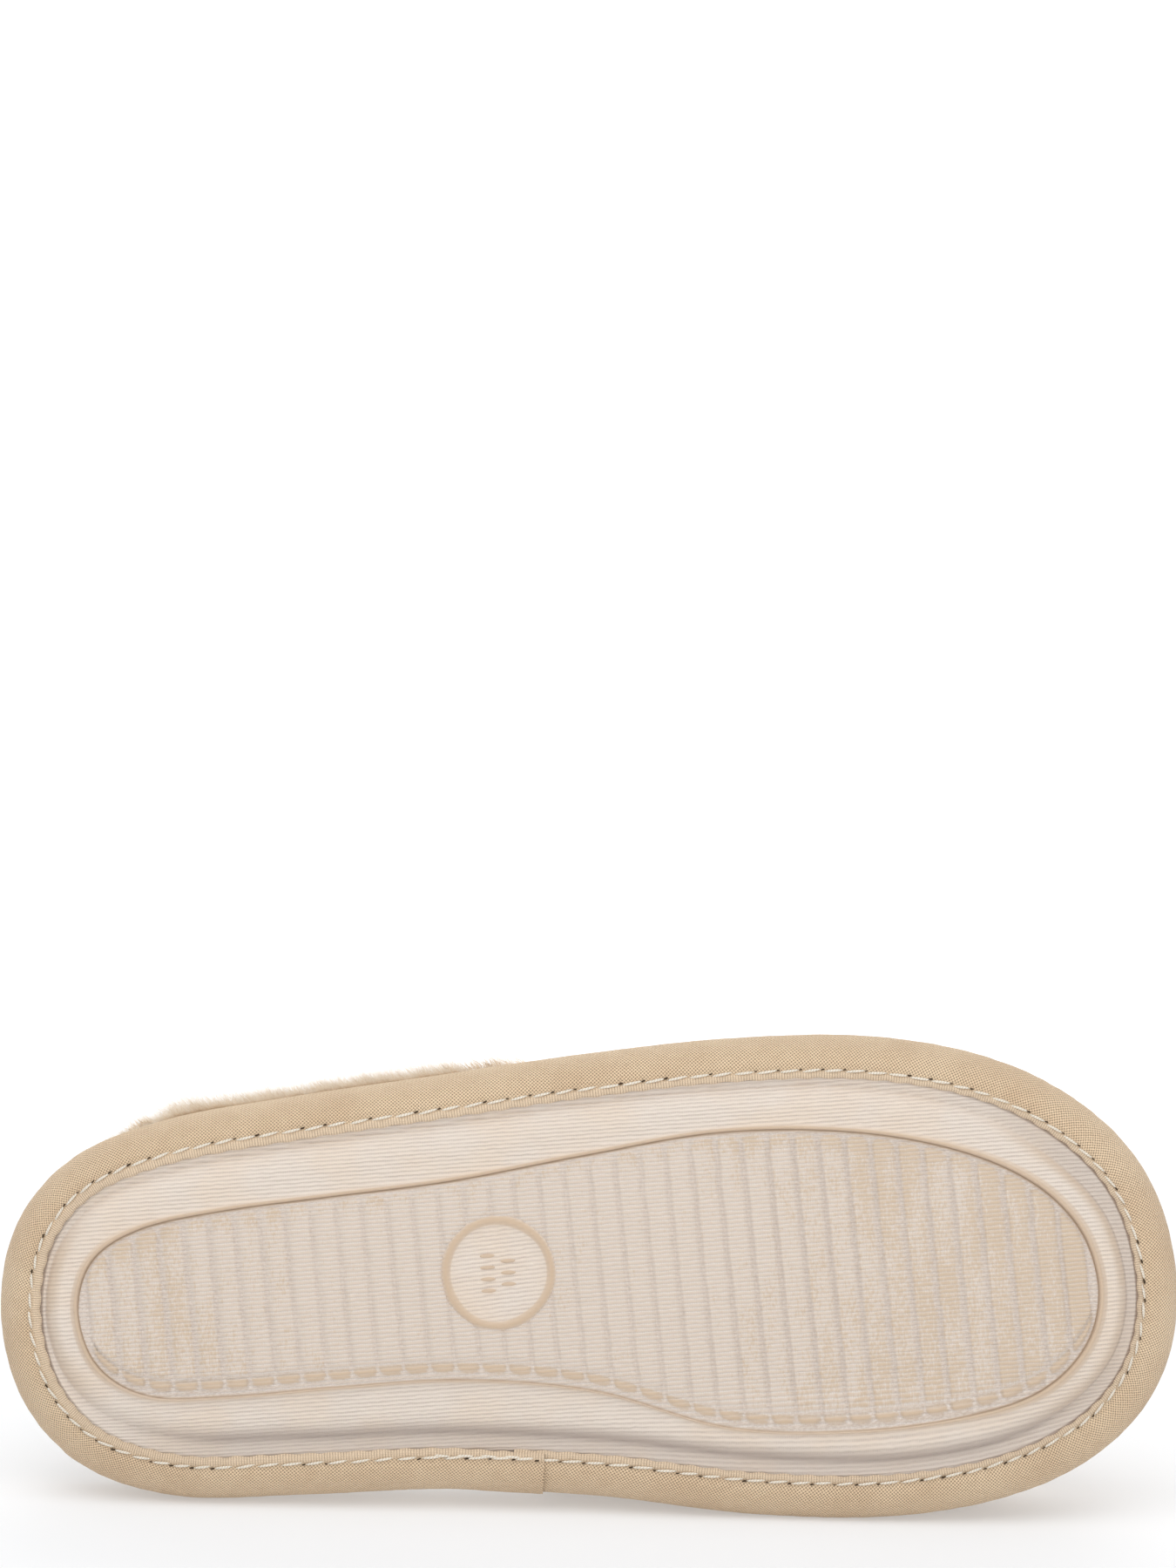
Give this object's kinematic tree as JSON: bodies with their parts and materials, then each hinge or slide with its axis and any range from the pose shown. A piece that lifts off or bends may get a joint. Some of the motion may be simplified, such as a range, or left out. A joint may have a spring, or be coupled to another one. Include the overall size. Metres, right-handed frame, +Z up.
{
  "type": "scuff slipper",
  "caption": "Backless plush-lined scuff slipper for the right foot, lying on its inner side, with a cloth-wrapped rand and a ribbed cloth-faced sole.",
  "frame": {"origin": "on the floor, under the middle of the bounding box of the slipper as it lies on its inner side", "axes": "+X from heel to toe, +Y from the sole towards the upper, +Z up"},
  "size_m": [0.2658, 0.0836, 0.107],
  "materials": {
    "outsole_cloth": "fine ribbed cloth moulded over foam, matte",
    "rand_cloth": "plain-weave cloth, matte",
    "plush": "long soft pile",
    "upper_cloth": "plain-weave cloth, matte"
  },
  "bodies": {
    "root": {"outsole": "outsole_cloth", "rand": "rand_cloth", "insole": "plush", "upper": "upper_cloth"}
  },
  "joints": []
}
